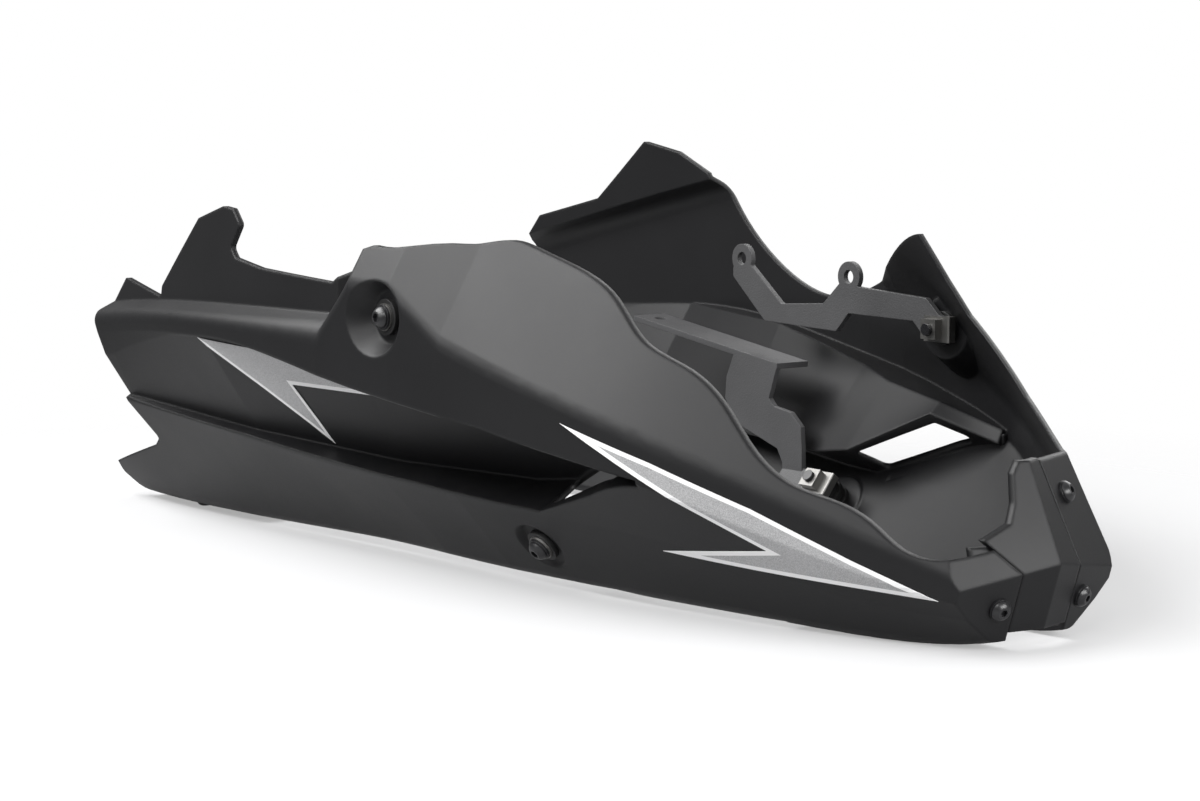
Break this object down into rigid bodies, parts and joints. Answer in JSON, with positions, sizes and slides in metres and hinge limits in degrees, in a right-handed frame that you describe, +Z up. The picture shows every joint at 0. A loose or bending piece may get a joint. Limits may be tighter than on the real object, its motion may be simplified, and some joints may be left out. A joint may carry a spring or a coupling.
{
  "type": "motorcycle belly pan",
  "caption": "Moulded belly pan of two side panels bolted to a nose joiner, with rubber mounted bolts and steel brackets that carry it under a motorcycle engine.",
  "frame": {"origin": "middle of the footprint, on the ground under the rear bolt heads and the nose", "axes": "+X forward to the nose, +Y to the rider's left, +Z up"},
  "size_m": [0.6393, 0.3359, 0.2108],
  "materials": {
    "panel_plastic": "satin black moulded plastic with a fine grain",
    "rubber": "matt black rubber",
    "zinc_steel": "zinc plated steel",
    "textured_steel": "textured black powder coat",
    "black_steel": "satin black plated steel",
    "dart_film": "silver grey vinyl film with a white edge, on the side panels"
  },
  "bodies": {
    "root": {"left_nose_nut": "zinc_steel", "left_nose_screw": "black_steel", "left_nose_washer": "black_steel", "left_side_panel": "panel_plastic", "lower_left_bolt": "black_steel", "lower_left_bracket": "textured_steel", "lower_left_clip_nut": "zinc_steel", "lower_left_grommet": "rubber", "lower_left_sleeve": "zinc_steel", "lower_left_washer": "black_steel", "lower_right_bolt": "black_steel", "lower_right_grommet": "rubber", "lower_right_nut": "zinc_steel", "lower_right_sleeve": "zinc_steel", "lower_right_washer": "black_steel", "nose_joiner": "panel_plastic", "rear_cross_strap": "textured_steel", "rear_left_bolt": "black_steel", "rear_left_nut": "zinc_steel", "rear_right_bolt": "black_steel", "rear_right_nut": "zinc_steel", "right_nose_nut": "zinc_steel", "right_nose_screw": "black_steel", "right_nose_washer": "black_steel", "right_side_panel": "panel_plastic", "upper_left_bolt": "black_steel", "upper_left_bracket": "textured_steel", "upper_left_clip_nut": "zinc_steel", "upper_left_grommet": "rubber", "upper_left_sleeve": "zinc_steel", "upper_left_washer": "black_steel", "upper_nose_nut": "zinc_steel", "upper_nose_screw": "black_steel", "upper_nose_washer": "black_steel", "upper_right_bolt": "black_steel", "upper_right_grommet": "rubber", "upper_right_nut": "zinc_steel", "upper_right_sleeve": "zinc_steel", "upper_right_washer": "black_steel"}
  },
  "joints": []
}
